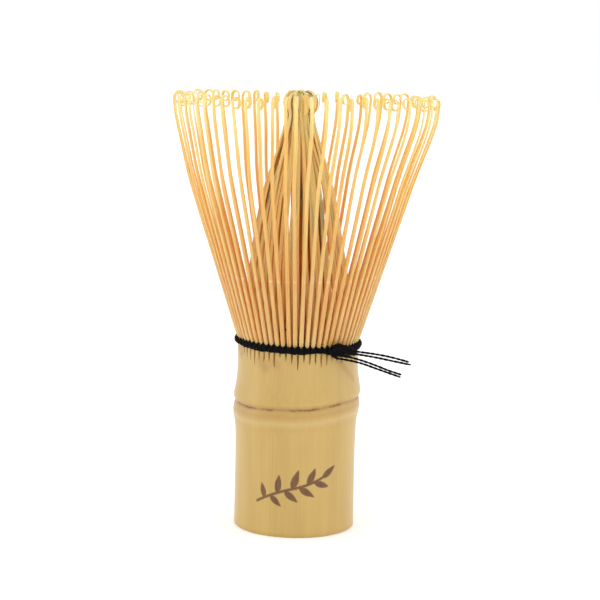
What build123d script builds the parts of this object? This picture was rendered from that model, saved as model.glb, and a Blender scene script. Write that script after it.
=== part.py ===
from build123d import *
import math
import os

# A bamboo tea whisk, standing on the open end of its handle. Millimetres, +Z up.
# Origin: the middle of the base circle. -Y is the front, +X is to the right of it.
# One length of bamboo is split into sixteen from the top down to its node. Each sixteenth is slit
# between skin and core and then into four, so it carries four outer and four inner tines.

# ---- driving dimensions -------------------------------------------------------------------------
SECTORS = 16                # primary splits
TINES = 4                   # outer tines, and inner tines, in each primary split
SECTOR_ANGLE = 360 / SECTORS
TINE_ANGLE = SECTOR_ANGLE / TINES

HANDLE_TOP = 46.0           # top of the split crown, behind the binding thread
BORE_RADIUS = 10.8
BORE_SLOPE = (1.5, 2.0)     # where the bore meets the diaphragm: width, height
DIAPHRAGM_LOW = 27.8        # the wall that closes the culm at its node
DIAPHRAGM_HIGH = 30.4
DIAPHRAGM_DOME = 0.4
CHAMBER_RADIUS = 10.9       # cavity above the diaphragm
CHAMBER_SLOPE = (1.5, 4.0)  # where the chamber meets the diaphragm: width, height
CROWN_INNER_RADIUS = 11.8

SLIT_WIDTH = 0.40
SLIT_BOTTOM = 43.4
PRIMARY_SLIT_BOTTOM = 42.2
RING_SLIT_INNER = 12.98     # the slit between skin and core
RING_SLIT_OUTER = 13.55
RING_SLIT_BOTTOM = 43.8

ROOT_GAP = 0.15             # play between the crown and the root of each tine
ROOT_Z = HANDLE_TOP + ROOT_GAP
THREAD_Z = 46.3             # height of the binding thread, where the tines bend

OUTER_ROOT_WIDTH = 1.00
OUTER_TIP_WIDTH = 0.86
CURL_CENTRE = (30.82, 105.45)
CURL_RADIUS = (1.45, 1.70)  # the curl is taller than it is deep
CURL_START = -8             # degrees, from straight outwards
CURL_END = 265
CURL_STEPS = 7

INNER_WIDTH_SHARE = 0.70    # share of its slot that an inner tine fills
INNER_TOP_WIDTH = 1.10
LAYER_PITCH = 0.50          # the gathered inner tines lie in four layers
LAYER_OF_TINE = (0, 2, 3, 1)
WEDGE_GAP = 0.05            # from each tine to the plane between two sectors
NEARBY = 1.3                # a tine is fitted to its innermost point within this height

THREAD_DIAMETER = 0.48
KNOT_ANGLE = 38             # degrees from the front towards +X
KNOT_RADIUS = 16.75
KNOT_SIZE = (2.3, 2.0, 3.2)

CUT_MARGIN = 1.0            # how far a cutter starts or ends outside what it cuts
CUT_REACH = 40.0            # beyond the radius of every part
SIDE_REACH = 6.0            # beyond every tine's edge, sideways

# ---- profiles, each point (radius, height) ------------------------------------------------------
HANDLE_SKIN = [
    (14.75, 0.4), (14.70, 10.0), (14.70, 20.0), (14.90, 25.5), (15.45, 29.0), (15.36, 30.7),
    (15.12, 31.7), (15.48, 32.8), (15.36, 34.2), (14.90, 37.1), (14.70, 41.0), (14.76, HANDLE_TOP),
]
BASE_CHAMFER = 0.35

# outside of an outer tine below its curl, with the tine's thickness there
OUTER_SKIN = [
    (14.80, ROOT_Z, 1.15), (15.18, 47.5, 1.12), (15.75, 49.0, 1.08),
    (18.10, 56.4, 0.95), (22.08, 68.8, 0.70), (26.03, 81.1, 0.48), (29.70, 93.3, 0.34),
    (31.35, 99.2, 0.28), (32.05, 102.6, 0.25),
]
TIP_THICKNESS = 0.25

# outside of the inner bundle, with a tine's thickness there
INNER_SKIN = [
    (12.95, ROOT_Z, 1.15), (12.80, 50.0, 0.92), (12.45, 57.0, 0.72), (11.80, 64.3, 0.56),
    (10.30, 73.0, 0.42), (8.72, 80.0, 0.34), (7.65, 84.3, 0.30), (6.10, 90.0, 0.27),
    (4.75, 95.0, 0.25),
]
# the top of each layer of inner tines: the first bulges and curls in, the second hooks out
INNER_TOPS = [
    [
        (3.30, 101.6), (3.75, 103.6), (4.05, 105.2), (3.72, 106.7), (2.90, 107.3), (2.18, 106.8),
        (2.05, 106.1),
    ],
    [(2.75, 101.6), (2.18, 104.0), (1.86, 106.0), (1.92, 107.1), (2.35, 107.65), (3.10, 107.75)],
    [(2.15, 101.6), (1.60, 104.0), (1.30, 106.0), (1.22, 106.9)],
    [(1.60, 101.6), (1.35, 103.0)],
]
LAYERS_OPEN = (72.0, 92.0)    # heights between which the layers draw apart
TINES_GATHER = (86.0, 98.0)   # heights between which the tines move in line

# the binding thread: its outer course over the tines and its inner course behind them
OUTER_COURSE = [
    (14.98, 45.5), (15.45, 45.5), (15.68, 46.0), (15.72, 46.7), (15.66, 47.1), (15.33, 47.1),
    (15.08, THREAD_Z),
]
INNER_COURSE = [(13.32, 46.6), (13.55, 46.6), (13.75, 47.8), (13.44, 47.8)]

# The two strands of the thread that end in four loose tails on the right. Each comes in from one
# tail, turns back round the left side of the knot, and leaves as the other.
THREAD_STRANDS = {
    "thread_strand_1": [
        (27.4, -6.5, 42.6), (23.6, -7.1, 43.7), (19.4, -7.9, 44.6), (15.9, -9.1, 45.2),
        (13.2, -10.7, 45.8), (11.1, -12.1, 46.6), (9.4, -13.4, 47.5), (8.1, -14.35, 47.2),
        (7.8, -14.65, 46.0), (9.0, -14.2, 45.2), (11.1, -13.2, 44.9), (13.4, -12.3, 44.4),
        (16.2, -11.5, 43.5), (19.2, -10.9, 42.4), (22.4, -10.3, 41.0), (25.5, -9.8, 40.0),
    ],
    "thread_strand_2": [
        (27.9, -7.0, 42.0), (24.0, -7.6, 42.8), (19.8, -8.4, 43.8), (16.1, -9.7, 44.6),
        (13.4, -11.2, 45.2), (11.4, -12.7, 45.9), (9.9, -13.95, 46.8), (8.6, -14.95, 46.7),
        (8.2, -15.3, 45.5), (9.4, -14.9, 44.6), (11.4, -13.95, 44.2), (13.6, -13.1, 43.7),
        (16.2, -12.2, 42.9), (19.0, -11.5, 41.8), (22.2, -10.9, 40.6), (25.3, -10.4, 39.5),
    ],
}
ARC_SHARE = 0.45            # of the shorter run beside a bend, taken up by the bend's arc


def blend(low, high, at):
    """0 below low, 1 above high, smooth between."""
    share = min(1.0, max(0.0, (at - low) / (high - low)))
    return share * share * (3 - 2 * share)


def across(points):
    """Points (radius, height) as points in the XZ plane."""
    return [(radius, 0, height) for radius, height in points]


def revolved(points):
    """A ring from its section."""
    return revolve(make_face(Polyline(across(points), close=True)), Axis.Z)


def strip(skin, thicknesses):
    """Side view of a tine: its outside face as a spline, and its inside face a thickness behind it."""
    outside = Spline(across(skin))
    behind = []
    for (radius, height), thickness in zip(skin, thicknesses):
        along = outside.tangent_at(Vector(radius, 0, height))
        behind.append((radius - along.Z * thickness, 0, height + along.X * thickness))
    inside = Spline(behind)
    tip = Line(outside @ 1, inside @ 1)
    root = Line(inside @ 0, outside @ 0)
    return Face(Wire([outside.edge(), tip.edge(), inside.edge(), root.edge()]))


def tine(skin, thicknesses, outline):
    """One tine: its side view pushed out sideways, and cut to its outline seen from outside."""
    side = extrude(strip(skin, thicknesses), amount=SIDE_REACH, both=True)
    left = [(0, middle - width / 2, height) for height, middle, width in outline]
    right = [(0, middle + width / 2, height) for height, middle, width in reversed(outline)]
    front = make_face(Polyline(left + right, close=True))
    cutter = extrude(front, amount=CUT_REACH, dir=(1, 0, 0))
    return (side & cutter).solid()


def turned(solid, degrees):
    """A copy turned about the whisk's axis."""
    return solid.rotate(Axis.Z, degrees)


def sector_angle(number):
    """Direction of a sector's middle, in degrees from +X."""
    return (number + 0.5) * SECTOR_ANGLE


def handle():
    """The culm: skin, node ridges, bore, diaphragm, chamber and the split crown."""
    skin = Spline(across(HANDLE_SKIN))
    foot_radius = HANDLE_SKIN[0][0] - BASE_CHAMFER
    inside = Polyline(across([
        (HANDLE_SKIN[-1][0], HANDLE_TOP),
        (CROWN_INNER_RADIUS, HANDLE_TOP),
        (CROWN_INNER_RADIUS, SLIT_BOTTOM),
        (CHAMBER_RADIUS, DIAPHRAGM_HIGH + CHAMBER_SLOPE[1]),
        (CHAMBER_RADIUS - CHAMBER_SLOPE[0], DIAPHRAGM_HIGH),
        (0, DIAPHRAGM_HIGH + DIAPHRAGM_DOME),
        (0, DIAPHRAGM_LOW + DIAPHRAGM_DOME),
        (BORE_RADIUS - BORE_SLOPE[0], DIAPHRAGM_LOW),
        (BORE_RADIUS, DIAPHRAGM_LOW - BORE_SLOPE[1]),
        (BORE_RADIUS, 0),
        (foot_radius, 0),
        HANDLE_SKIN[0],
    ]))
    culm = revolve(Face(Wire([skin.edge(), *inside.edges()])), Axis.Z)
    cuts = []
    for number in range(SECTORS * TINES):
        bottom = PRIMARY_SLIT_BOTTOM if number % TINES == 0 else SLIT_BOTTOM
        slit = Box(CUT_REACH, SLIT_WIDTH, HANDLE_TOP, align=(Align.MIN, Align.CENTER, Align.MIN))
        slit = slit.moved(Location((CHAMBER_RADIUS - CUT_MARGIN, 0, bottom)))
        cuts.append(turned(slit, number * TINE_ANGLE))
    depth = HANDLE_TOP - RING_SLIT_BOTTOM + CUT_MARGIN
    ring = Cylinder(RING_SLIT_OUTER, depth, align=(Align.CENTER, Align.CENTER, Align.MIN))
    ring -= Cylinder(RING_SLIT_INNER, depth, align=(Align.CENTER, Align.CENTER, Align.MIN))
    cuts.append(ring.moved(Location((0, 0, RING_SLIT_BOTTOM))))
    return culm.cut(*cuts).solid()


def outer_tine():
    """An outer tine in the XZ plane: nearly straight, leaning out, and curled in at its tip."""
    skin = [(radius, height) for radius, height, _ in OUTER_SKIN]
    thicknesses = [thickness for _, _, thickness in OUTER_SKIN]
    for step in range(CURL_STEPS + 1):
        angle = math.radians(CURL_START + (CURL_END - CURL_START) * step / CURL_STEPS)
        radius = CURL_CENTRE[0] + CURL_RADIUS[0] * math.cos(angle)
        height = CURL_CENTRE[1] + CURL_RADIUS[1] * math.sin(angle)
        skin.append((radius, height))
        thicknesses.append(TIP_THICKNESS)
    top = CURL_CENTRE[1] + CURL_RADIUS[1] + CUT_MARGIN
    outline = [(ROOT_Z - CUT_MARGIN, 0, OUTER_ROOT_WIDTH), (top, 0, OUTER_TIP_WIDTH)]
    return tine(skin, thicknesses, outline)


def inner_tine(number):
    """An inner tine of the sector on +X, in the layer that it takes in the gathered bundle."""
    layer = LAYER_OF_TINE[number]
    slot = math.tan(math.radians((number - (TINES - 1) / 2) * TINE_ANGLE))
    wedge = math.tan(math.radians(SECTOR_ANGLE / 2))
    skin = [(r - layer * LAYER_PITCH * blend(*LAYERS_OPEN, z), z) for r, z, _ in INNER_SKIN]
    thicknesses = [thickness for _, _, thickness in INNER_SKIN]
    skin += INNER_TOPS[layer]
    thicknesses += [TIP_THICKNESS] * len(INNER_TOPS[layer])
    narrowest = {}
    for (radius, height), thickness in zip(skin, thicknesses):
        narrowest[height] = radius - thickness
    heights = sorted(narrowest)
    outline = []
    for height in heights:
        inside = min(narrowest[other] for other in heights if abs(other - height) < NEARBY)
        middle = slot * (inside + narrowest[height]) / 2 * (1 - blend(*TINES_GATHER, height))
        slot_width = math.radians(TINE_ANGLE) * inside * INNER_WIDTH_SHARE
        wanted = slot_width + (INNER_TOP_WIDTH - slot_width) * blend(*TINES_GATHER, height)
        room = 2 * (wedge * inside - abs(middle) - WEDGE_GAP)
        outline.append((height, middle, min(wanted, room)))
    first, last = outline[0], outline[-1]
    outline.insert(0, (first[0] - CUT_MARGIN, first[1], first[2]))
    outline.append((last[0] + CUT_MARGIN, last[1], last[2]))
    return tine(skin, thicknesses, outline)


def thread_tube(name, route):
    """A strand of thread: straight runs joined by arcs, as large as the runs beside each bend allow."""
    points = [Vector(*point) for point in route]
    radii = []
    for before, corner, after in zip(points, points[1:], points[2:]):
        arriving, leaving = corner - before, after - corner
        half_turn = math.radians(arriving.get_angle(leaving)) / 2
        radii.append(ARC_SHARE * min(arriving.length, leaving.length) / math.tan(half_turn))
    path = FilletPolyline(*points, radius=radii)
    section = Plane(origin=path @ 0, z_dir=path % 0) * Circle(THREAD_DIAMETER / 2)
    tube = sweep(section, path=path)
    expected = math.pi * THREAD_DIAMETER ** 2 / 4 * path.length
    print(name, "length", round(path.length, 1), "smallest radius", round(min(radii), 1),
          "volume", round(tube.volume, 2), "expected", round(expected, 2))
    return tube.solid()


def knot():
    """The knot that draws the strands together, a rounded lump on the front of the band."""
    lump = Sphere(0.5)
    lump = scale(lump, by=KNOT_SIZE)
    place = Location((0, -KNOT_RADIUS, THREAD_Z))
    return turned(lump.moved(place), KNOT_ANGLE).solid()


def main():
    os.makedirs("parts", exist_ok=True)
    export_step(handle(), "parts/culm_handle.step")
    outer = outer_tine()
    inner = [inner_tine(number) for number in range(TINES)]
    for sector in range(SECTORS):
        middle = sector_angle(sector)
        group = [turned(outer, middle + (n - (TINES - 1) / 2) * TINE_ANGLE) for n in range(TINES)]
        export_step(Compound(children=group), f"parts/outer_tines_{sector + 1:02d}.step")
        group = [turned(solid, middle) for solid in inner]
        export_step(Compound(children=group), f"parts/inner_tines_{sector + 1:02d}.step")
    export_step(revolved(OUTER_COURSE), "parts/thread_outer_course.step")
    export_step(revolved(INNER_COURSE), "parts/thread_inner_course.step")
    export_step(knot(), "parts/thread_knot.step")
    for name, route in THREAD_STRANDS.items():
        export_step(thread_tube(name, route), f"parts/{name}.step")


main()
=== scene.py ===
import math

import bmesh
import bpy
import numpy as np
from mathutils import Matrix, Vector


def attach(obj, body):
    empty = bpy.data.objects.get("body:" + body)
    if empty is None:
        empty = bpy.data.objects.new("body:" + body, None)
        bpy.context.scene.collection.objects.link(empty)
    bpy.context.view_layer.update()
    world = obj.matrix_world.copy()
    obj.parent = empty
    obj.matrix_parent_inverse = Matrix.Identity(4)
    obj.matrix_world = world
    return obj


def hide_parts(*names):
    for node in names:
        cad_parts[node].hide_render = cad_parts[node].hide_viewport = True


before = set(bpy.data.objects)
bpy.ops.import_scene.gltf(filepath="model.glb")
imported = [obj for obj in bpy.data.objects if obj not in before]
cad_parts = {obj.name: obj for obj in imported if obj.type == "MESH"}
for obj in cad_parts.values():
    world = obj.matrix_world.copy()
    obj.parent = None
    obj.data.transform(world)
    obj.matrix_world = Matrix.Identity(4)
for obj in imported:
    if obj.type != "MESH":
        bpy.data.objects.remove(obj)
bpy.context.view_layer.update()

scene = bpy.context.scene

# A bamboo tea whisk. Metres, +Z up, the front towards -Y. Lengths below are in millimetres and are
# turned into metres where a mesh is made.
MM = 0.001

# ---- camera -------------------------------------------------------------------------------------
CAMERA_PLACE = (0.00057, -0.463, 0.1231)
CAMERA_LENS = 114
PITCH = math.radians(81.8)
ROLL = math.radians(1.2)
camera_data = bpy.data.cameras.new("camera")
camera_data.lens = CAMERA_LENS
camera_data.sensor_width = 36
camera = bpy.data.objects.new("camera", camera_data)
scene.collection.objects.link(camera)
camera.matrix_world = (
    Matrix.Translation(CAMERA_PLACE)
    @ Matrix.Rotation(PITCH, 4, "X")
    @ Matrix.Rotation(ROLL, 4, "Z")
)
scene.camera = camera
scene.view_settings.view_transform = "Standard"


# ---- mesh helpers -------------------------------------------------------------------------------
def blend(low, high, at):
    """0 below low, 1 above high, smooth between; works on arrays."""
    share = np.clip((np.asarray(at, float) - low) / (high - low), 0, 1)
    return share * share * (3 - 2 * share)


class Builder:
    """Gathers tubes and ribbons, given in millimetres, into one mesh with values on its points."""

    def __init__(self):
        self.points = []
        self.faces = []
        self.values = {}
        self.count = 0

    def add(self, rings, caps=True, **values):
        """rings is an array (rings, corners, 3); a value is one number, or one for each point."""
        rings = np.asarray(rings, float)
        many, corners = rings.shape[:2]
        first = self.count
        self.points.append(rings.reshape(-1, 3))
        for ring in range(many - 1):
            low, high = first + ring * corners, first + (ring + 1) * corners
            for corner in range(corners):
                after = (corner + 1) % corners
                self.faces.append((low + corner, low + after, high + after, high + corner))
        if caps:
            self.faces.append(tuple(range(first + corners - 1, first - 1, -1)))
            last = first + (many - 1) * corners
            self.faces.append(tuple(range(last, last + corners)))
        for name, value in values.items():
            spread = np.broadcast_to(np.asarray(value, float), (many, corners)).reshape(-1)
            self.values.setdefault(name, []).append(spread)
        self.count += many * corners

    def build(self, name, body, nodes, slot, material, sharp=40):
        """The mesh as an object that stands for CAD nodes and moves with a body."""
        mesh = bpy.data.meshes.new(name)
        points = np.concatenate(self.points) * MM
        mesh.from_pydata(points.tolist(), [], self.faces)
        for key, parts in self.values.items():
            attribute = mesh.attributes.new(key, "FLOAT", "POINT")
            attribute.data.foreach_set("value", np.concatenate(parts).astype(np.float32))
        work = bmesh.new()
        work.from_mesh(mesh)
        bmesh.ops.recalc_face_normals(work, faces=work.faces)
        work.to_mesh(mesh)
        work.free()
        mesh.shade_smooth()
        mesh.set_sharp_from_angle(angle=math.radians(sharp))
        mesh.materials.append(material)
        made = bpy.data.objects.new(name, mesh)
        scene.collection.objects.link(made)
        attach(made, body)
        if nodes:
            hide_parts(*nodes)
        return made


def unit(vectors):
    return vectors / np.maximum(np.linalg.norm(vectors, axis=-1, keepdims=True), 1e-12)


def frames(line):
    """Tangent, and two directions across, carried along a line of points without twist."""
    line = np.asarray(line, float)
    along = unit(np.gradient(line, axis=0))
    start = np.cross(along[0], (0.31, 0.17, 0.93))
    sides = [start / np.linalg.norm(start)]
    for tangent in along[1:]:
        side = sides[-1] - tangent * np.dot(sides[-1], tangent)
        sides.append(side / np.linalg.norm(side))
    sides = np.array(sides)
    return along, sides, np.cross(along, sides)


def travelled(line):
    """Distance along a line at each of its points."""
    steps = np.linalg.norm(np.diff(line, axis=0), axis=1)
    return np.concatenate([[0], np.cumsum(steps)])


def resampled(line, step):
    """The same line with points a step apart."""
    line = np.asarray(line, float)
    at = travelled(line)
    wanted = np.linspace(0, at[-1], max(4, int(round(at[-1] / step)) + 1))
    return np.stack([np.interp(wanted, at, line[:, axis]) for axis in range(3)], axis=1)


def smooth_curve(points, steps):
    """Points of a Catmull-Rom curve through rows of numbers, with a few steps for each span."""
    points = np.asarray(points, float)
    padded = np.vstack([2 * points[0] - points[1], points, 2 * points[-1] - points[-2]])
    gaps = np.linalg.norm(np.diff(padded[:, :2], axis=0), axis=1)
    out = []
    for index in range(1, len(padded) - 2):
        before, low, high, after = padded[index - 1:index + 3]
        span = gaps[index]
        slope_low = (high - before) / (gaps[index - 1] + span) * span
        slope_high = (after - low) / (span + gaps[index + 1]) * span
        for step in range(steps):
            t = step / steps
            out.append(
                (2 * t**3 - 3 * t**2 + 1) * low + (t**3 - 2 * t**2 + t) * slope_low
                + (3 * t**2 - 2 * t**3) * high + (t**3 - t**2) * slope_high
            )
    out.append(points[-1])
    return np.array(out)


# ---- thread -------------------------------------------------------------------------------------
PLY_RADIUS = 0.205
PLY_OFFSET = 0.085          # a ply's middle from the yarn's middle
PLY_PITCH = 2.6
YARN_STEP = 0.14
FRAYED = 0.45               # share of its thickness that a frayed end keeps
FRAY_LENGTH = 0.5
FIBRE_RADIUS = 0.014


def circle(corners):
    turn = np.arange(corners) * 2 * math.pi / corners
    return np.cos(turn), np.sin(turn)


def tube(builder, line, radius, corners=6, **values):
    _, side, up = frames(line)
    cos, sin = circle(corners)
    radius = np.broadcast_to(radius, (len(line),))[:, None, None]
    rings = line[:, None] + radius * (side[:, None] * cos[:, None] + up[:, None] * sin[:, None])
    builder.add(rings, **values)


def yarn(builder, line, rng, closed=False, size=1.0, corners=7, fray=(False, False)):
    """Two plies twisted together along a line, each a little uneven; a frayed end thins out."""
    line = resampled(line, YARN_STEP)
    at = travelled(line)
    _, side, up = frames(line)
    phase = rng.uniform(0, 2 * math.pi)
    pitch = PLY_PITCH * size
    if closed:
        pitch = at[-1] / round(at[-1] / pitch)
    lump = 1 + 0.06 * np.sin(at / 0.83 + phase) + 0.05 * np.sin(at / 0.37 + 2 * phase)
    taper = np.ones(len(at))
    if fray[0]:
        taper *= FRAYED + (1 - FRAYED) * blend(0, FRAY_LENGTH, at)
    if fray[1]:
        taper *= FRAYED + (1 - FRAYED) * blend(0, FRAY_LENGTH, at[-1] - at)
    for ply in range(2):
        turn = 2 * math.pi * at / pitch + phase + ply * math.pi
        offset = PLY_OFFSET * size
        middle = line + offset * (side * np.cos(turn)[:, None] + up * np.sin(turn)[:, None])
        tube(builder, middle, PLY_RADIUS * size * lump * taper, corners, along=at[:, None])


def fuzz(builder, line, rng, count, reach):
    """Fine fibres that stand away from the thread."""
    line = resampled(line, 0.1)
    along, side, up = frames(line)
    for _ in range(count):
        index = rng.randint(0, len(line) - 1)
        turn = rng.uniform(0, 2 * math.pi)
        out = side[index] * math.cos(turn) + up[index] * math.sin(turn)
        lean = along[index] * rng.uniform(-1, 1)
        length = reach * rng.uniform(0.5, 1)
        share = np.linspace(0, 1, 5)[:, None]
        start = line[index] + out * 0.15
        fibre = start + (out * share + lean * share**2) * length
        tube(builder, fibre, FIBRE_RADIUS * (1 - 0.6 * share[:, 0]), 3, along=0.0)


# the way of each strand: a tail, round through the knot, and the other tail
THREAD_STRANDS = {
    "thread_strand_1": [
        (27.4, -6.5, 42.6), (23.6, -7.1, 43.7), (19.4, -7.9, 44.6), (15.9, -9.1, 45.2),
        (13.2, -10.7, 45.8), (11.1, -12.1, 46.6), (9.4, -13.4, 47.5), (8.1, -14.35, 47.2),
        (7.8, -14.65, 46.0), (9.0, -14.2, 45.2), (11.1, -13.2, 44.9), (13.4, -12.3, 44.4),
        (16.2, -11.5, 43.5), (19.2, -10.9, 42.4), (22.4, -10.3, 41.0), (25.5, -9.8, 40.0),
    ],
    "thread_strand_2": [
        (27.9, -7.0, 42.0), (24.0, -7.6, 42.8), (19.8, -8.4, 43.8), (16.1, -9.7, 44.6),
        (13.4, -11.2, 45.2), (11.4, -12.7, 45.9), (9.9, -13.95, 46.8), (8.6, -14.95, 46.7),
        (8.2, -15.3, 45.5), (9.4, -14.9, 44.6), (11.4, -13.95, 44.2), (13.6, -13.1, 43.7),
        (16.2, -12.2, 42.9), (19.0, -11.5, 41.8), (22.2, -10.9, 40.6), (25.3, -10.4, 39.5),
    ],
}


def nurbs_line(name, route):
    """Points, in metres, of the smooth line with the route's points as its control points."""
    curve = bpy.data.curves.new(name, "CURVE")
    curve.dimensions = "3D"
    curve.resolution_u = 8
    spline = curve.splines.new("NURBS")
    spline.points.add(len(route) - 1)
    for point, (x, y, z) in zip(spline.points, route):
        point.co = (x * MM, y * MM, z * MM, 1)
    spline.order_u = 3
    spline.use_endpoint_u = True
    holder = bpy.data.objects.new(name + "_line", curve)
    mesh = bpy.data.meshes.new_from_object(holder)
    line = np.array([vertex.co[:] for vertex in mesh.vertices])
    bpy.data.objects.remove(holder)
    bpy.data.meshes.remove(mesh)
    bpy.data.curves.remove(curve)
    return line


# ---- materials ----------------------------------------------------------------------------------
def colour(red, green, blue):
    """A display colour, 0 to 255, as the linear colour that a shader takes."""
    def linear(value):
        value /= 255
        return value / 12.92 if value <= 0.04045 else ((value + 0.055) / 1.055) ** 2.4
    return (linear(red), linear(green), linear(blue), 1)


class Shader:
    """A material's node tree, with short ways to add nodes to it."""

    def __init__(self, name):
        self.material = bpy.data.materials.new(name)
        self.material.use_nodes = True
        self.tree = self.material.node_tree
        self.surface = self.tree.nodes["Principled BSDF"]

    def feed(self, socket, value):
        if isinstance(value, bpy.types.NodeSocket):
            self.tree.links.new(value, socket)
        else:
            socket.default_value = value

    def value(self, name):
        node = self.tree.nodes.new("ShaderNodeAttribute")
        node.attribute_name = name
        return node.outputs["Fac"]

    def math(self, operation, first, second=0.0, clamp=False):
        node = self.tree.nodes.new("ShaderNodeMath")
        node.operation = operation
        node.use_clamp = clamp
        self.feed(node.inputs[0], first)
        self.feed(node.inputs[1], second)
        return node.outputs[0]

    def span(self, value, low, high, out_low=0.0, out_high=1.0):
        """A value from low to high turned into one from out_low to out_high, smooth at the ends."""
        node = self.tree.nodes.new("ShaderNodeMapRange")
        node.interpolation_type = "SMOOTHSTEP"
        for socket, number in zip(node.inputs, (value, low, high, out_low, out_high)):
            self.feed(socket, number)
        return node.outputs[0]

    def mix(self, factor, first, second, kind="MIX"):
        node = self.tree.nodes.new("ShaderNodeMix")
        node.data_type = "RGBA"
        node.blend_type = kind
        self.feed(node.inputs[0], factor)
        self.feed(node.inputs[6], first)
        self.feed(node.inputs[7], second)
        return node.outputs[2]

    def place(self):
        return self.tree.nodes.new("ShaderNodeTexCoord").outputs["Object"]

    def vector(self, x, y, z):
        node = self.tree.nodes.new("ShaderNodeCombineXYZ")
        for socket, value in zip(node.inputs, (x, y, z)):
            self.feed(socket, value)
        return node.outputs[0]

    def stretch(self, vector, scale):
        node = self.tree.nodes.new("ShaderNodeMapping")
        self.feed(node.inputs["Vector"], vector)
        node.inputs["Scale"].default_value = scale
        return node.outputs[0]

    def noise(self, vector, detail=3.0, roughness=0.55):
        node = self.tree.nodes.new("ShaderNodeTexNoise")
        self.feed(node.inputs["Vector"], vector)
        node.inputs["Scale"].default_value = 1.0
        node.inputs["Detail"].default_value = detail
        node.inputs["Roughness"].default_value = roughness
        return node.outputs["Fac"]

    def bump(self, height, strength, distance):
        node = self.tree.nodes.new("ShaderNodeBump")
        node.inputs["Strength"].default_value = strength
        node.inputs["Distance"].default_value = distance
        self.feed(node.inputs["Height"], height)
        self.tree.links.new(node.outputs[0], self.surface.inputs["Normal"])


def culm_material():
    """Natural culm skin: long fibres, faint specks, a dark node groove and a burnt mark."""
    s = Shader("culm")
    place = s.place()
    fine = s.noise(s.stretch(place, (2600, 2600, 45)), 4)
    broad = s.noise(s.stretch(place, (170, 170, 14)), 2)
    blotch = s.noise(s.stretch(place, (120, 120, 70)), 3)
    speck = s.noise(s.stretch(place, (1500, 1500, 420)), 2)
    base = s.mix(s.span(broad, 0.35, 0.65), colour(188, 154, 79), colour(196, 162, 87))
    base = s.mix(s.span(fine, 0.4, 0.75, 0.0, 0.35), base, colour(206, 172, 98))
    base = s.mix(s.span(fine, 0.45, 0.25, 0.0, 0.15), base, colour(178, 140, 74))
    base = s.mix(s.span(blotch, 0.52, 0.75, 0.0, 0.22), base, colour(190, 148, 82))
    base = s.mix(s.span(speck, 0.68, 0.78, 0.0, 0.25), base, colour(168, 118, 62))
    base = s.mix(s.value("wax"), base, colour(214, 190, 140))
    # painted shade in and beside the slits, above the node groove and at the foot, together with
    # darker patches on the skin
    base = s.mix(s.value("stain"), base, colour(166, 116, 58))
    # darker along the node groove
    groove_dark = s.math("MULTIPLY", s.value("groove"), s.span(speck, 0.3, 0.6, 0.65, 1.0))
    base = s.mix(groove_dark, base, colour(104, 64, 32))
    base = s.mix(s.value("raw"), base, colour(216, 186, 130))
    burn = s.value("burn")
    rim = s.math("MULTIPLY", burn, s.math("SUBTRACT", 1.0, burn))
    scorched = s.mix(s.span(fine, 0.3, 0.6), colour(84, 44, 16), colour(112, 66, 30))
    base = s.mix(s.math("MULTIPLY", burn, 0.95), base, scorched)
    base = s.mix(s.math("MULTIPLY", rim, 2.4, clamp=True), base, colour(66, 34, 14))
    s.feed(s.surface.inputs["Base Color"], base)
    matt = s.math("MAXIMUM", s.value("raw"), burn)
    rough = s.math("ADD", s.span(fine, 0.3, 0.7, 0.32, 0.44), s.math("MULTIPLY", matt, 0.3))
    s.feed(s.surface.inputs["Roughness"], rough)
    s.surface.inputs["Specular IOR Level"].default_value = 0.6
    s.surface.inputs["Coat Weight"].default_value = 0.15
    s.surface.inputs["Coat Roughness"].default_value = 0.3
    s.bump(s.math("ADD", fine, s.math("MULTIPLY", speck, 0.3)), 0.35, 0.00006)
    return s.material


def tine_material(name, low, middle, high, tip, skin=None):
    """Shaved bamboo: fibres along the tine, each tine with its own tone, paler to its tip."""
    s = Shader(name)
    across = s.value("across")
    along = s.value("along")
    tone = s.value("tone")
    seed = s.math("MULTIPLY", tone, 60)
    fibre = s.noise(
        s.vector(s.math("MULTIPLY", across, 7), seed, s.math("MULTIPLY", along, 0.12)), 3
    )
    patch = s.noise(
        s.vector(s.math("MULTIPLY", across, 0.8), seed, s.math("MULTIPLY", along, 0.05)), 2
    )
    base = s.mix(s.span(along, 0, 22), low, middle)
    base = s.mix(s.span(along, 18, 48), base, high)
    base = s.mix(s.span(along, 50, 66), base, tip)
    if skin:
        base = s.mix(s.value("skin"), base, skin)
    base = s.mix(s.span(fibre, 0.38, 0.68, 0.0, 0.45), base, colour(236, 208, 148))
    base = s.mix(s.span(fibre, 0.48, 0.28, 0.0, 0.4), base, colour(188, 120, 58))
    base = s.mix(s.span(patch, 0.5, 0.75, 0.0, 0.3), base, colour(212, 150, 78))
    warm = s.mix(1.0, base, colour(255, 236, 208), "MULTIPLY")
    base = s.mix(s.span(tone, 0.0, 1.0, 0.0, 0.75), base, warm)
    base = s.mix(s.value("mark"), base, colour(238, 208, 168))
    # painted shade in the gaps and deep inside the bundle, together with the split flesh's own
    # deeper orange
    base = s.mix(s.value("deep"), base, colour(222, 154, 82))
    s.feed(s.surface.inputs["Base Color"], base)
    s.feed(s.surface.inputs["Roughness"], s.span(fibre, 0.3, 0.7, 0.42, 0.58))
    s.surface.inputs["Specular IOR Level"].default_value = 0.45
    s.surface.inputs["Subsurface Weight"].default_value = 0.75
    s.surface.inputs["Subsurface Radius"].default_value = (1.0, 0.45, 0.16)
    s.surface.inputs["Subsurface Scale"].default_value = 0.0016
    s.bump(fibre, 0.3, 0.00005)
    return s.material


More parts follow.
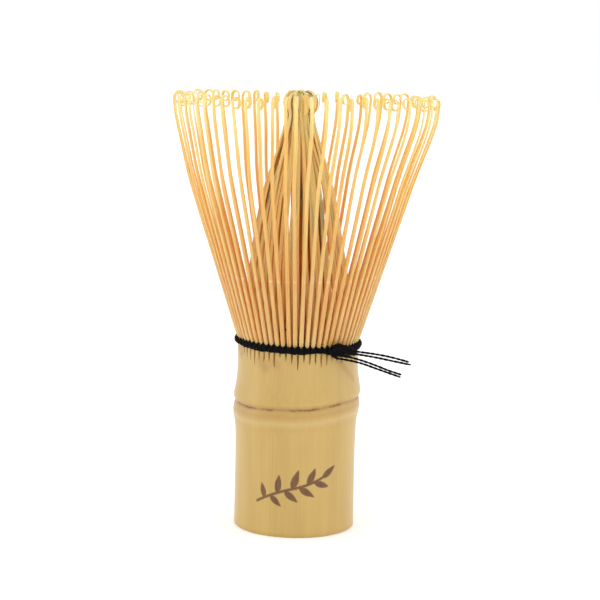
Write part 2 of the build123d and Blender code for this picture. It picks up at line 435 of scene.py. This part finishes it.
def thread_material():
    """Black cotton: nearly matt, with fibres that catch a little light."""
    s = Shader("black_cotton")
    fine = s.noise(s.stretch(s.place(), (6000, 6000, 6000)), 3)
    base = s.mix(s.span(fine, 0.35, 0.7), colour(6, 6, 7), colour(22, 21, 22))
    s.feed(s.surface.inputs["Base Color"], base)
    s.surface.inputs["Roughness"].default_value = 0.85
    s.surface.inputs["Specular IOR Level"].default_value = 0.08
    s.surface.inputs["Sheen Weight"].default_value = 0.03
    s.surface.inputs["Sheen Roughness"].default_value = 0.4
    s.bump(fine, 0.6, 0.00004)
    return s.material


CULM = culm_material()
OUTER_TINE = tine_material(
    "outer_tine_bamboo", colour(200, 170, 106), colour(210, 178, 106), colour(224, 190, 112),
    colour(243, 224, 164), skin=colour(207, 171, 106),
)
INNER_TINE = tine_material(
    "inner_tine_bamboo", colour(200, 142, 76), colour(226, 176, 98), colour(244, 190, 112),
    colour(244, 212, 148),
)
COTTON = thread_material()

# ---- cords --------------------------------------------------------------------------------------
STRAND_FIBRES = 70
rng = np.random.RandomState(11)
for strand, route in THREAD_STRANDS.items():
    line = nurbs_line(strand, route)
    builder = Builder()
    yarn(builder, line / MM, rng, fray=(True, True))
    fuzz(builder, line / MM, rng, STRAND_FIBRES, 0.45)
    piece = builder.build(strand + "_yarn", "handle", [strand], "black_thread", COTTON)

# ---- tines --------------------------------------------------------------------------------------
SECTORS = 16
TINES = 4
SECTOR_ANGLE = 360 / SECTORS
TINE_ANGLE = SECTOR_ANGLE / TINES
ROOT_Z = 46.15              # where the tines begin, just above the handle's crown
FLEX_HEIGHT = 46.3          # the height that a sector bends at
# corners of a tine's section, as shares of its width and thickness
TINE_SECTION = np.array([
    (-0.5, -0.3), (-0.5, 0.18), (-0.40, 0.42), (-0.18, 0.5), (0.18, 0.5), (0.40, 0.42),
    (0.5, 0.18), (0.5, -0.3), (0.40, -0.5), (-0.40, -0.5),
])
# the split sides and the inside of a tine are a deeper orange than its face: partly the split
# flesh's own colour, partly painted shade in the gaps between tines
SIDE_CORNERS = (TINE_SECTION[:, 1] < 0.3).astype(float)[None, :]
SIDE_FLESH_AND_SHADE = 0.38


def ribbon(builder, line, thickness, width, twist, degrees, shift, **values):
    """A tine along the line of its outer face, given as (radius, sideways, height)."""
    along = unit(np.gradient(line, axis=0))
    aside = np.array([0.0, 1.0, 0.0]) - along * along[:, 1:2]
    aside = unit(aside)
    out = np.cross(aside, along)
    middle = line - out * (thickness / 2)[:, None]
    cos, sin = np.cos(twist)[:, None], np.sin(twist)[:, None]
    flat = aside * cos + out * sin
    face = out * cos - aside * sin
    rings = (
        middle[:, None]
        + flat[:, None] * (TINE_SECTION[:, 0] * width[:, None])[..., None]
        + face[:, None] * (TINE_SECTION[:, 1] * thickness[:, None])[..., None]
    )
    turn = math.radians(degrees)
    x = rings[..., 0] * math.cos(turn) - rings[..., 1] * math.sin(turn)
    y = rings[..., 0] * math.sin(turn) + rings[..., 1] * math.cos(turn)
    at = travelled(line)
    builder.add(
        np.stack([x + shift[:, None], y, rings[..., 2]], axis=-1), along=at[:, None],
        across=TINE_SECTION[None, :, 0] * width[:, None], **values,
    )


# the outer face of an outer tine below its curl: (radius, height, thickness)
OUTER_SKIN = [
    (14.80, ROOT_Z, 1.15), (15.18, 47.5, 1.12), (15.75, 49.0, 1.08),
    (18.10, 56.4, 0.95), (22.08, 68.8, 0.70), (26.03, 81.1, 0.48), (29.70, 93.3, 0.34),
    (31.35, 99.2, 0.28), (32.05, 102.6, 0.25),
]
CURL_CENTRE = (30.85, 105.45)
CURL_RADIUS = (1.42, 1.45)
CURL_START = -8
CURL_END = 295
CURL_STEPS = 30
TIP_THICKNESS = 0.25
SCRIBE_HEIGHT = 63.4         # the bamboo's skin is left on below this line and shaved off above
SCRIBE_STEPS = (-0.5, -0.25, -0.1, 0.0, 0.1, 0.25, 0.5)
TINE_SHIFT = 0.35            # the tines and the crown stand a little to the right of the foot
TIP_SHIFT = 0.85             # and the tips of the outer ones further
BALL_SHIFT = -0.30
SPAN_STEPS = 6
OUTER_SWAY = 0.60            # how far an outer tine bows, and how far its tip leans, at most
CURL_DRIFT = 0.75
OUTER_WIDTHS = ([46, 62, 75, 92, 105], [1.06, 1.00, 0.93, 0.86, 0.84])    # heights, widths there
# tines that lean more than others: (sector, tine) and how far, sideways at the tip
OUTER_LEANS = {(11, 2): -0.1, (11, 3): -0.95, (12, 0): -0.75, (12, 1): 0.3}
OUT_OF_SECTOR = 0.12        # share left of a lean that points at the next sector


def within_sector(value, place):
    """Sectors bend towards each other, so their edge tines hardly lean out of their own one."""
    inwards = {0: 1, TINES - 1: -1}.get(place[1], 0)
    return value if value * inwards >= 0 else value * OUT_OF_SECTOR


def outer_tine(builder, rng, degrees, place):
    """A tapering tine whose tip curls inwards; place is its (sector, tine)."""
    line = smooth_curve(OUTER_SKIN, SPAN_STEPS)[:-1]
    scribed = SCRIBE_HEIGHT + np.array(SCRIBE_STEPS)
    radius, thickness = (np.interp(scribed, line[:, 1], line[:, part]) for part in (0, 2))
    line = np.vstack([line, np.stack([radius, scribed, thickness], axis=1)])
    line = line[np.argsort(line[:, 1])]
    below = len(line)
    angle = np.radians(np.linspace(CURL_START, CURL_END + rng.uniform(-15, 25), CURL_STEPS))
    closing = np.linspace(1, rng.uniform(0.86, 1.0), CURL_STEPS)
    curl_r = CURL_CENTRE[0] + CURL_RADIUS[0] * (1 - (1 - np.cos(angle)) * closing)
    curl_z = CURL_CENTRE[1] + CURL_RADIUS[1] * np.sin(angle) * closing
    radius = np.concatenate([line[:, 0], curl_r])
    height = np.concatenate([line[:, 1], curl_z])
    thickness = np.concatenate([line[:, 2], np.full(CURL_STEPS, TIP_THICKNESS)])
    share = np.clip((height - FLEX_HEIGHT) / 60, 0, 1)
    path = np.linspace(0, 1, len(radius))
    curled = np.concatenate([np.zeros(below), np.linspace(0, 1, CURL_STEPS)])
    shift = TINE_SHIFT + TIP_SHIFT * blend(84, 101, height)
    radius = radius + rng.uniform(-0.55, 0.35) * share**2
    taller = -0.10 - 0.40 * math.sin(math.radians(degrees)) + rng.uniform(-0.40, 0.40)
    height = height + taller * share**3
    bow = within_sector(rng.uniform(-OUTER_SWAY, OUTER_SWAY), place)
    lean = within_sector(rng.uniform(-OUTER_SWAY, OUTER_SWAY), place) + OUTER_LEANS.get(place, 0)
    wave = rng.uniform(0.0, 0.06) * np.sin(path * rng.uniform(14, 24) + rng.uniform(0, 6)) * share
    drift = within_sector(rng.uniform(-CURL_DRIFT, CURL_DRIFT), place)
    sideways = bow * np.sin(math.pi * share) * share + lean * share**2 + wave
    sideways = sideways + drift * np.sin(math.pi * 0.62 * curled) * (curled > 0)
    upper = blend(92, 106, height) * (1 - curled) + curled
    twist = np.radians(rng.uniform(-12, 12)) * share + np.radians(rng.uniform(-18, 18)) * upper
    width = np.interp(height, *OUTER_WIDTHS)
    width = width + 0.03 * np.sin(path * 31 + rng.uniform(0, 6)) + rng.uniform(-0.06, 0.06)
    step = blend(SCRIBE_HEIGHT - 0.25, SCRIBE_HEIGHT + 0.25, height)
    width = width - 0.05 * step
    outside = (TINE_SECTION[:, 1] > 0)[None, :]
    skin = (1 - step)[:, None] * outside
    mark = np.exp(-((height - SCRIBE_HEIGHT) / 0.22) ** 2)[:, None] * outside
    mark = mark * rng.uniform(0.0, 0.55)
    # side faces deeper orange, less so higher up where the tines stand apart: partly flesh colour,
    # partly painted shade
    deep = SIDE_FLESH_AND_SHADE * SIDE_CORNERS * (1 - 0.8 * blend(62, 92, height))[:, None]
    line = np.stack([radius, sideways, height], axis=1)
    ribbon(
        builder, line, thickness, width, twist, degrees, shift, tone=rng.uniform(0, 1), skin=skin,
        mark=mark, deep=deep,
    )


# the outside of the inner bundle: (radius, height, a tine's thickness)
INNER_SKIN = [
    (12.95, ROOT_Z, 1.15), (12.80, 50.0, 0.92), (12.45, 57.0, 0.72), (11.80, 64.3, 0.56),
    (10.30, 73.0, 0.42), (8.72, 80.0, 0.34), (7.65, 84.3, 0.30), (6.10, 90.0, 0.27),
    (4.75, 95.0, 0.25),
]
# the hooked ends of the four layers, from the neck of the ball on: (radius, height)
INNER_TOPS = [
    [
        (3.30, 101.6), (3.85, 103.2), (4.25, 104.7), (4.10, 106.0), (3.30, 107.1), (2.20, 107.7),
        (1.1, 107.7), (0.5, 107.2),
    ],
    [
        (2.90, 101.6), (3.15, 103.2), (3.40, 104.8), (3.20, 106.0), (2.50, 106.8), (1.60, 107.1),
        (0.8, 106.9),
    ],
    [(2.30, 101.6), (2.20, 103.4), (2.25, 105.0), (1.90, 106.2), (1.20, 106.6)],
    [(1.70, 101.6), (1.35, 103.5), (1.20, 105.2)],
]
LAYER_OF_TINE = (0, 2, 3, 1)
LAYER_SHADE = (0.0, 0.35, 0.70, 0.80)      # painted shade: how much darker and redder a layer is coloured inside the bundle
LAYER_PITCH = 0.42
LAYERS_OPEN = (76.0, 96.0)  # the layers part between these heights
INNER_WIDTH = 0.88
INNER_OFFSET = 0.45         # the inner tines show in the gaps between the outer ones
INNER_TOP_WIDTH = 0.90
INNER_STEPS = 5
# tines whose end hangs outside the ball: (sector, layer), and (radius, height) from the neck on
STRAY_ENDS = {
    (15, 0): [
        (3.30, 101.6), (3.75, 103.4), (3.85, 105.2), (4.00, 106.4), (4.45, 106.5), (4.65, 105.3),
        (4.50, 104.0), (4.00, 102.9), (3.50, 102.3),
    ],
    (12, 0): [
        (3.30, 101.6), (3.75, 103.4), (3.90, 105.2), (4.05, 106.3), (4.50, 106.4), (4.65, 105.2),
        (4.60, 103.8), (4.50, 102.6), (4.15, 102.0), (3.75, 102.3),
    ],
}


def inner_tine(builder, rng, number, sector, degrees):
    """A thin tine of the centre bundle, hooked over at the ball; degrees is its sector's middle."""
    layer = LAYER_OF_TINE[number]
    slot = math.tan(math.radians((number - (TINES - 1) / 2) * TINE_ANGLE))
    rows = [
        (r - layer * LAYER_PITCH * blend(*LAYERS_OPEN, z), z, thick) for r, z, thick in INNER_SKIN
    ]
    neck = len(rows) * INNER_STEPS
    top = STRAY_ENDS.get((sector, layer), INNER_TOPS[layer])
    rows += [(r, z, TIP_THICKNESS) for r, z in top]
    line = smooth_curve(rows, INNER_STEPS)
    radius, height, thickness = line.T
    at = travelled(line[:, :2])
    rising = np.clip((at - at[neck]) / 7, 0, 1)
    inside = np.minimum.accumulate(radius - thickness)
    upper = np.maximum.accumulate(blend(84, 101, height))
    slot_width = math.radians(TINE_ANGLE) * 12.2 * 0.82
    width = slot_width + (INNER_WIDTH - slot_width) * blend(50, 70, height)
    width = width + (INNER_TOP_WIDTH - INNER_WIDTH) * upper + rng.uniform(-0.12, 0.12)
    width = width * (1 - 0.25 * blend(0.75, 1.0, rising))
    share = np.clip((height - FLEX_HEIGHT) / 58, 0, 1)
    belly = np.sin(math.pi * share) * share
    radius = radius + rng.uniform(-0.35, 0.15) * belly + 0.85 * np.exp(-((height - 86) / 11) ** 2)
    sideways = slot * inside + INNER_OFFSET * blend(47, 54, height) * (1 - upper)
    sideways = sideways + rng.uniform(-1.1, 1.1) * belly + rng.uniform(-0.45, 0.45) * upper
    sideways = sideways + rng.uniform(-0.7, 0.7) * rising**1.4
    height = height + rng.uniform(-0.45, 0.15) * rising
    radius = radius + rng.uniform(-0.15, 0.15) * rising * (layer == 0)
    twist = np.radians(rng.uniform(-12, 12)) * share + np.radians(rng.uniform(-24, 24)) * rising
    shift = TINE_SHIFT + (BALL_SHIFT - TINE_SHIFT) * blend(50, 76, height)
    # painted shade: the deeper layers are coloured darker and redder inside the ball, every inner
    # tine is darker low down, and the split sides are partly flesh colour, partly painted shade
    deep = LAYER_SHADE[layer] * (0.3 * blend(66, 90, height) + 0.7 * blend(0.05, 0.4, rising))
    deep = deep + 0.30 * (1 - blend(52, 76, height))
    deep = deep[:, None] + SIDE_FLESH_AND_SHADE * SIDE_CORNERS * (1 - 0.6 * blend(90, 103, height))[:, None]
    line = np.stack([radius, sideways, height], axis=1)
    ribbon(
        builder, line, thickness * (1 - 0.3 * rising), width, twist, degrees, shift,
        tone=rng.uniform(0, 1), skin=0.0, mark=0.0, deep=np.minimum(deep, 1),
    )


rng = np.random.RandomState(5)
for sector in range(SECTORS):
    middle = (sector + 0.5) * SECTOR_ANGLE
    outer, inner = Builder(), Builder()
    for number in range(TINES):
        degrees = middle + (number - (TINES - 1) / 2) * TINE_ANGLE
        outer_tine(outer, rng, degrees, (sector, number))
        inner_tine(inner, rng, number, sector, middle)
    for kind, builder, material in (("outer", outer, OUTER_TINE), ("inner", inner, INNER_TINE)):
        body = f"{kind}_tines_{sector + 1:02d}"
        builder.build(body + "_bamboo", body, [body], "bamboo_tine", material)

# ---- binding thread -----------------------------------------------------------------------------
BAND_STEP = 0.45            # degrees between points along the band


def around(degrees):
    """Directions from +X, as unit vectors in the XY plane."""
    turn = np.radians(degrees)
    return np.cos(turn), np.sin(turn)


def ring_line(degrees, radius, height):
    x, y = around(degrees)
    return np.stack([radius * x + TINE_SHIFT, radius * y, height], axis=1)


def gap_share(degrees, radius, half_width):
    """1 at the middle of the gap between two tines, and 0 on the tines."""
    off = (np.asarray(degrees) + TINE_ANGLE / 2) % TINE_ANGLE - TINE_ANGLE / 2
    return np.exp(-(np.radians(off) * radius / half_width) ** 2)


def waver(degrees, rng, size, waves=(3, 17)):
    """A smooth uneven value that closes on itself after a full turn."""
    total = np.zeros(len(degrees))
    for _ in range(6):
        many = rng.randint(*waves)
        total += rng.uniform(-1, 1) * np.sin(np.radians(degrees) * many + rng.uniform(0, 6.28))
    return total * size / 2.4


def tilt(degrees):
    return -0.42 * np.cos(np.radians(degrees)) - 0.15


def right_rise(degrees):
    """The band climbs the tines at the right-hand side."""
    return np.exp(-((np.asarray(degrees) + 4) / 11) ** 2)


OUTER_ROWS = [(45.80, 15.25), (46.15, 15.50), (46.50, 15.52), (46.84, 15.40)]    # height, radius
ZIGZAGS = ((0.65, 46.84), (0.40, 46.66))    # rise between the tines, height
INNER_ROWS = (46.85, 47.25, 47.62)
INNER_BAND_RADIUS = 13.42
INNER_YARN = 0.78           # thickness of the inner course's yarn, as a share of the outer one's
# ends that stray up between the tines: (degrees at the top, height of the tip, height of the top)
STRAYS = ((-106.5, 50.8, 52.0), (60, 50.2, 51.3), (150, 50.5, 51.4))
STRAY_REACH = 5
STRAY_RADIUS = 14.2

rng = np.random.RandomState(21)
degrees = np.arange(-180, 180 + BAND_STEP / 2, BAND_STEP)
outer_band = Builder()
for row, (height, radius) in enumerate(OUTER_ROWS):
    gap = gap_share(degrees, 15, 0.33)
    lowest = row == 0
    z = height + tilt(degrees) + waver(degrees, rng, 0.10 + 0.16 * lowest)
    z = z + waver(degrees, rng, 0.07 + 0.06 * lowest, (30, 64))
    r = radius - (0.30 + 0.06 * row) * gap + waver(degrees, rng, 0.05, (20, 60))
    z = z + (0.25 - 0.03 * row) * right_rise(degrees)
    yarn(outer_band, ring_line(degrees, r, z), rng, closed=True)
# the weave dips between the tines and rises there in points
gap = gap_share(degrees, 15, 0.26)
for lift, height in ZIGZAGS:
    uneven = 1 + waver(degrees, rng, 0.25, (11, 40))
    z = height + tilt(degrees) + lift * gap * uneven + 0.15 * right_rise(degrees)
    r = 15.38 - 0.95 * gap
    yarn(outer_band, ring_line(degrees, r, z), rng, closed=True, size=0.95)
outer_band.build("binding_outer_yarn", "handle", ["thread_outer_course"], "black_thread", COTTON)

inner_band = Builder()
for height in INNER_ROWS:
    z = height + waver(degrees, rng, 0.12)
    r = INNER_BAND_RADIUS + waver(degrees, rng, 0.04)
    yarn(inner_band, ring_line(degrees, r, z), rng, closed=True, size=INNER_YARN)
for middle, tip, top in STRAYS:
    start, end = middle - STRAY_REACH, middle + STRAY_REACH
    stray = np.linspace(start, end, 16)
    z = np.interp(stray, [start, middle, end], [47.6, top, tip])
    r = np.interp(stray, [start, middle], [INNER_BAND_RADIUS, STRAY_RADIUS])
    yarn(inner_band, ring_line(stray, r, z), rng, size=INNER_YARN, fray=(False, True))
inner_band.build("binding_inner_yarn", "handle", ["thread_inner_course"], "black_thread", COTTON)

# ---- knot ---------------------------------------------------------------------------------------
KNOT_ANGLE = 38             # degrees from the front towards +X
KNOT_RADIUS = 16.55
KNOT_HEIGHT = 46.4
# each wrap: (sideways, lean, half height, middle height)
KNOT_WRAPS = [
    (-1.95, 0.06, 1.10, -0.28), (-1.50, 0.10, 1.25, -0.22), (-1.05, 0.12, 1.35, -0.15),
    (-0.60, 0.16, 1.35, -0.08), (-0.15, 0.20, 1.15, 0.0),
]
# the thread that the knot gathers runs down to the right: (start, end), each (sideways, out, up)
KNOT_RUNS = [
    ((-0.6, 0.15, 1.50), (5.6, -1.20, -0.55)), ((-1.2, 0.20, 1.35), (6.6, -1.45, -0.95)),
    ((-1.7, 0.25, 0.95), (6.9, -1.50, -1.30)), ((-1.9, 0.25, 0.50), (6.8, -1.50, -1.75)),
    ((-1.9, 0.20, 0.05), (6.2, -1.40, -2.15)), ((-1.7, 0.15, -0.45), (4.8, -1.10, -2.40)),
]
rng = np.random.RandomState(8)
knot = Builder()


def on_knot(side, depth, height):
    """A point given by its place sideways, outwards and up from the knot's middle."""
    turn = math.radians(KNOT_ANGLE)
    out = np.array([math.sin(turn), -math.cos(turn)])
    right = np.array([math.cos(turn), math.sin(turn)])
    outwards = out[None] * (KNOT_RADIUS + np.asarray(depth))[:, None]
    sideways = right[None] * np.asarray(side)[:, None]
    return np.column_stack([outwards + sideways, KNOT_HEIGHT + np.asarray(height)])


turn = np.linspace(0, 2 * math.pi, 60)
for place, lean, reach, middle in KNOT_WRAPS:
    side = place + lean * np.sin(turn + 0.6) + rng.uniform(-0.04, 0.04)
    depth = (0.50 + rng.uniform(-0.04, 0.04)) * np.cos(turn)
    yarn(knot, on_knot(side, depth - 0.1, middle + reach * np.sin(turn)), rng, closed=True)
for start, end in KNOT_RUNS:
    share = np.linspace(0, 1, 24)
    run = [start[axis] + (end[axis] - start[axis]) * share for axis in range(3)]
    run[1] = run[1] + 0.5 * np.sin(math.pi * share)
    yarn(knot, on_knot(*run), rng, fray=(False, True))
fuzz(knot, on_knot(1.2 * np.cos(turn), 0.6 + 0 * turn, 1.3 * np.sin(turn)), rng, 50, 0.5)
knot.build("knot_yarn", "handle", ["thread_knot"], "black_thread", COTTON)

# ---- handle -------------------------------------------------------------------------------------
HANDLE_TOP = 46.0
SKIN_RADIUS = 14.7
HANDLE_SKIN = [             # (radius, height)
    (14.75, 0.4), (14.70, 10.0), (14.70, 20.0), (14.90, 25.5), (15.45, 29.0), (15.36, 30.7),
    (15.12, 31.7), (15.48, 32.8), (15.36, 34.2), (14.90, 37.1), (14.70, 41.0), (14.76, HANDLE_TOP),
]
# rows of points down the outside: (from, to, how many)
HEIGHT_RUNS = [
    (HANDLE_TOP, 40.2, 18), (39.8, 34.2, 11), (34.0, 29.6, 22), (29.1, 21.5, 11), (21.2, 6.8, 62),
    (6.2, 0.4, 7),
]
# from the foot's inner edge up the bore and in under the diaphragm: (radius, height)
BORE_ROWS = [
    (14.3, 0.0), (13.4, 0.0), (12.4, 0.0), (11.6, 0.0), (11.0, 0.0), (10.82, 0.15), (10.8, 3),
    (10.8, 8), (10.82, 14), (10.8, 20), (10.8, 25.0), (10.5, 26.9), (9.6, 27.7), (7, 28.0),
    (4, 28.15), (1.5, 28.2), (0.05, 28.2),
]
# from the crown's outer edge round the ring slit, down the chamber and in over the diaphragm
CHAMBER_ROWS = [
    (20.0, 46.0), (13.55, 46.0), (13.55, 44.4), (12.98, 44.4), (12.98, 46.0), (11.85, 46.0),
    (11.8, 43.4), (11.2, 38.0), (10.9, 34.4), (10.5, 32.4), (9.4, 30.5), (6.5, 30.7), (3, 30.8),
    (0.05, 30.8),
]
SLOTS = SECTORS * TINES
SECTOR_SLIT = 42.0          # the middle height that the slits between sectors reach down to
TINE_SLIT = 43.6            # and the slits within a sector
COLUMN_OFFSETS = (-0.25, -0.10, 0.0, 0.10, 0.25, 0.48, 0.72, 0.96)    # from a slit, around the skin
GROOVE_HEIGHT = 31.7
GROOVE_DEPTH = 0.16
WAX_HEIGHT = 28.2           # a paler ring just below the node
BURN_MIDDLE = 13.9
BURN_DEPTH = 0.10
SPRIG_SIZE = 1.18
SPRIG_REACH = 13
LEAF_BEND = 0.25
FOOT_SHIFT = 0.1
WALL_EXTRA = 0.1            # the skin stands this far outside its profile

# soft darker patches and streaks on the skin: from (sideways, height) to (sideways, height), then
# width and depth
DARK_PATCHES = [
    (10.4, 43.9, 16.7, 37.0, 0.80, 0.42), (-9.6, 43.2, -8.2, 41.6, 1.3, 0.50),
    (-6.0, 43.4, -5.2, 42.4, 1.0, 0.38), (-3.0, 43.8, 2.0, 43.4, 0.9, 0.15),
]

# darker rings at the node and the foot, each (height, spread, depth): painted shade above the node
# groove, and at the foot the cut edge's own darker colour with painted shade
NODE_SHADE_AND_STAINS = [(32.3, 0.45, 0.40), (30.2, 1.0, 0.34), (27.0, 0.9, 0.10), (0.2, 0.25, 0.45)]

# the mark: a stem, and leaves that grow from it, each (place along it, degrees, length, width)
SPRIG_STEM = (-8.2, 6.0)
SPRIG_LEAVES = [
    (-6.4, 98, 3.3, 1.30), (-5.0, -48, 3.3, 1.30), (-3.6, 80, 4.0, 1.45), (-2.0, -44, 3.7, 1.40),
    (-0.5, 68, 4.3, 1.50), (1.0, -36, 3.9, 1.45), (2.7, 60, 4.0, 1.40), (4.1, -22, 3.7, 1.35),
    (5.9, 34, 4.0, 1.35),
]


def stem_height(side):
    """The height of the mark's stem, from the mark's middle."""
    return -1.3 + 0.22 * side + 0.022 * side * np.abs(side)


def sprig(side, up):
    """How much of a point, in millimetres from the mark's middle, is burnt."""
    burnt = np.zeros(np.broadcast(side, up).shape)
    for base_side, degrees, length, width in SPRIG_LEAVES:
        turn = math.radians(degrees)
        base_up = stem_height(base_side)
        forward = (side - base_side) * math.cos(turn) + (up - base_up) * math.sin(turn)
        off = (up - base_up) * math.cos(turn) - (side - base_side) * math.sin(turn)
        share = np.clip(forward / length, 0, 1)
        half = width / 2 * np.sin(math.pi * share**0.75)
        on_leaf = (forward > 0) & (forward < length)
        inside = np.where(on_leaf, half - np.abs(off - LEAF_BEND * share**2), -1)
        burnt = np.maximum(burnt, blend(-0.02, 0.16, inside))
    off = np.abs(up - stem_height(side))
    on = (side > SPRIG_STEM[0]) & (side < SPRIG_STEM[1])
    burnt = np.maximum(burnt, on * (1 - blend(0.12, 0.30, off)))
    return burnt


def handle():
    """The culm: skin, slits, node, bore and chamber, as one closed skin of rows round the axis."""
    rng = np.random.RandomState(3)
    pitch = 2 * math.pi * SKIN_RADIUS / SLOTS
    columns = np.array([slot * pitch + off for slot in range(SLOTS) for off in COLUMN_OFFSETS])
    theta = columns / SKIN_RADIUS
    count = len(theta)
    degrees = np.degrees(theta)
    slit_bottom = np.array([
        (TINE_SLIT if slot % TINES else SECTOR_SLIT) + rng.uniform(-1.4, 1.2)
        for slot in range(SLOTS)
    ])
    bottoms = np.repeat(slit_bottom, len(COLUMN_OFFSETS))
    wander = np.repeat(rng.uniform(-0.07, 0.07, SLOTS), len(COLUMN_OFFSETS))
    offsets = np.tile(COLUMN_OFFSETS, SLOTS)
    node_wave = waver(degrees, rng, 0.20, (2, 9)) + waver(degrees, rng, 0.07, (18, 50))
    node_tilt = 0.80 * np.cos(theta) + 0.5 * np.cos(theta) ** 2 + node_wave
    oval = 0.05 * np.cos(2 * theta + 0.7) + waver(degrees, rng, 0.03, (3, 9))

    heights = np.concatenate([np.linspace(*run) for run in HEIGHT_RUNS])
    skin_curve = smooth_curve(HANDLE_SKIN, 12)
    front = (theta + math.pi / 2 + math.pi) % (2 * math.pi) - math.pi
    side = front * SKIN_RADIUS
    rings, burn, groove, wax, raw, stain = [], [], [], [], [], []
    rough_groove = 0.70 + 0.30 * np.clip(waver(degrees, rng, 2.5, (5, 40)), -1, 1)

    def row(radius, height, is_raw=0.0, burnt=0.0, grooved=0.0, waxed=0.0, stained=0.0):
        radius = np.broadcast_to(radius, (count,))
        height = np.broadcast_to(height, (count,))
        shift = FOOT_SHIFT + (TINE_SHIFT - FOOT_SHIFT) * blend(26, 36, height)
        x, y = radius * np.cos(theta) + shift, radius * np.sin(theta)
        rings.append(np.stack([x, y, height], axis=1))
        given = (burnt, grooved, waxed, is_raw, stained)
        for values, value in zip((burn, groove, wax, raw, stain), given):
            values.append(np.broadcast_to(value, (count,)))

    for z in heights:
        near_node = blend(21, 28, z) * (1 - blend(36, 42, z))
        height = z + node_tilt * near_node
        radius = np.interp(z, skin_curve[:, 1], skin_curve[:, 0])
        radius = radius + WALL_EXTRA + oval
        valley = math.exp(-((z - GROOVE_HEIGHT) / 0.30) ** 2)
        radius = radius - GROOVE_DEPTH * valley
        open_share = np.clip((height - bottoms) / (HANDLE_TOP - bottoms), 0, 1)
        half = 0.05 + 0.15 * open_share
        notch = np.clip(1 - (np.abs(offsets + wander * open_share) - 0.01) / half, 0, 1)
        radius = radius - 1.0 * notch * blend(0, 0.25, open_share)
        # painted shadow: the skin is coloured darker in each slit and beside it, most near the
        # slit's top
        beside_shadow = np.exp(-((offsets - wander * open_share) / 0.26) ** 2)
        stained = (0.40 * notch + 0.30 * beside_shadow) * blend(0, 0.35, open_share)
        marked = sprig(side / SPRIG_SIZE, (z - BURN_MIDDLE) / SPRIG_SIZE)
        burnt = np.where(np.abs(side) < SPRIG_REACH, marked, 0)
        radius = radius - BURN_DEPTH * burnt
        pale = 0.30 * math.exp(-((z - WAX_HEIGHT) / 0.7) ** 2)
        for level, spread, much in NODE_SHADE_AND_STAINS:
            stained = stained + much * math.exp(-((z - level) / spread) ** 2)
        for foot_side, foot_up, head_side, head_up, size, much in DARK_PATCHES:
            run = np.array([head_side - foot_side, head_up - foot_up])
            share = ((side - foot_side) * run[0] + (z - foot_up) * run[1]) / (run @ run)
            share = np.clip(share, 0, 1)
            away = np.hypot(side - foot_side - share * run[0], z - foot_up - share * run[1])
            stained = stained + much * np.exp(-(away / size) ** 2)
        row(radius, height, 0.0, burnt, 0.95 * valley * rough_groove, pale, np.clip(stained, 0, 1))
    # the foot's cut edge: its own darker colour, with painted shade
    row(14.66, 0.22, stained=0.3)
    row(14.45, 0.04, 0.5, stained=0.3)
    for radius, z in BORE_ROWS:
        row(radius, z, 1.0)
    below = len(rings)
    outside = np.hypot(rings[0][:, 0] - TINE_SHIFT, rings[0][:, 1])
    for radius, z in CHAMBER_ROWS:
        row(np.minimum(radius, outside - 0.05), z, 1.0)
    # one skin without a break: up from the diaphragm to the crown, then down the outside and in
    order = [*range(len(rings) - 1, below - 1, -1), *range(below)]
    made = Builder()
    made.add(
        np.array(rings)[order], burn=np.array(burn)[order], groove=np.array(groove)[order],
        wax=np.array(wax)[order], raw=np.array(raw)[order], stain=np.array(stain)[order],
    )
    return made


handle().build("handle_culm", "handle", ["culm_handle"], "bamboo_culm", CULM)

# ---- stage and light ----------------------------------------------------------------------------
FLOOR = 3.0
SOFTBOX_SIZE = 0.5
# each softbox: (name, place, the height that it faces on the axis, power)
SOFTBOXES = [
    ("key", (-0.5, -0.6, 0.6), 0.06, 0.4), ("fill", (0.6, -0.5, 0.35), 0.06, 0.1),
    ("left", (-0.75, -0.05, 0.16), 0.05, 0.55), ("right", (0.75, -0.05, 0.16), 0.05, 0.55),
]
floor_mesh = bpy.data.meshes.new("floor")
corners = [(-FLOOR, -FLOOR, 0), (FLOOR, -FLOOR, 0), (FLOOR, FLOOR, 0), (-FLOOR, FLOOR, 0)]
floor_mesh.from_pydata(corners, [], [(0, 1, 2, 3)])
floor = bpy.data.objects.new("floor", floor_mesh)
scene.collection.objects.link(floor)
pale = Shader("pale_floor")
pale.surface.inputs["Base Color"].default_value = (0.92, 0.92, 0.92, 1)
pale.surface.inputs["Roughness"].default_value = 0.9
pale.surface.inputs["Emission Color"].default_value = (1, 1, 1, 1)
pale.surface.inputs["Emission Strength"].default_value = 0.25
floor_mesh.materials.append(pale.material)

world = bpy.data.worlds.new("studio")
world.use_nodes = True
world.node_tree.nodes["Background"].inputs["Color"].default_value = (1, 1, 1, 1)
world.node_tree.nodes["Background"].inputs["Strength"].default_value = 1.0
scene.world = world

for name, place, faced, power in SOFTBOXES:
    light = bpy.data.lights.new(name, "AREA")
    light.shape = "SQUARE"
    light.size = SOFTBOX_SIZE
    light.energy = power
    lamp = bpy.data.objects.new(name, light)
    scene.collection.objects.link(lamp)
    lamp.location = place
    aim = Vector((0, 0, faced)) - lamp.location
    lamp.rotation_euler = aim.to_track_quat("-Z", "Y").to_euler()
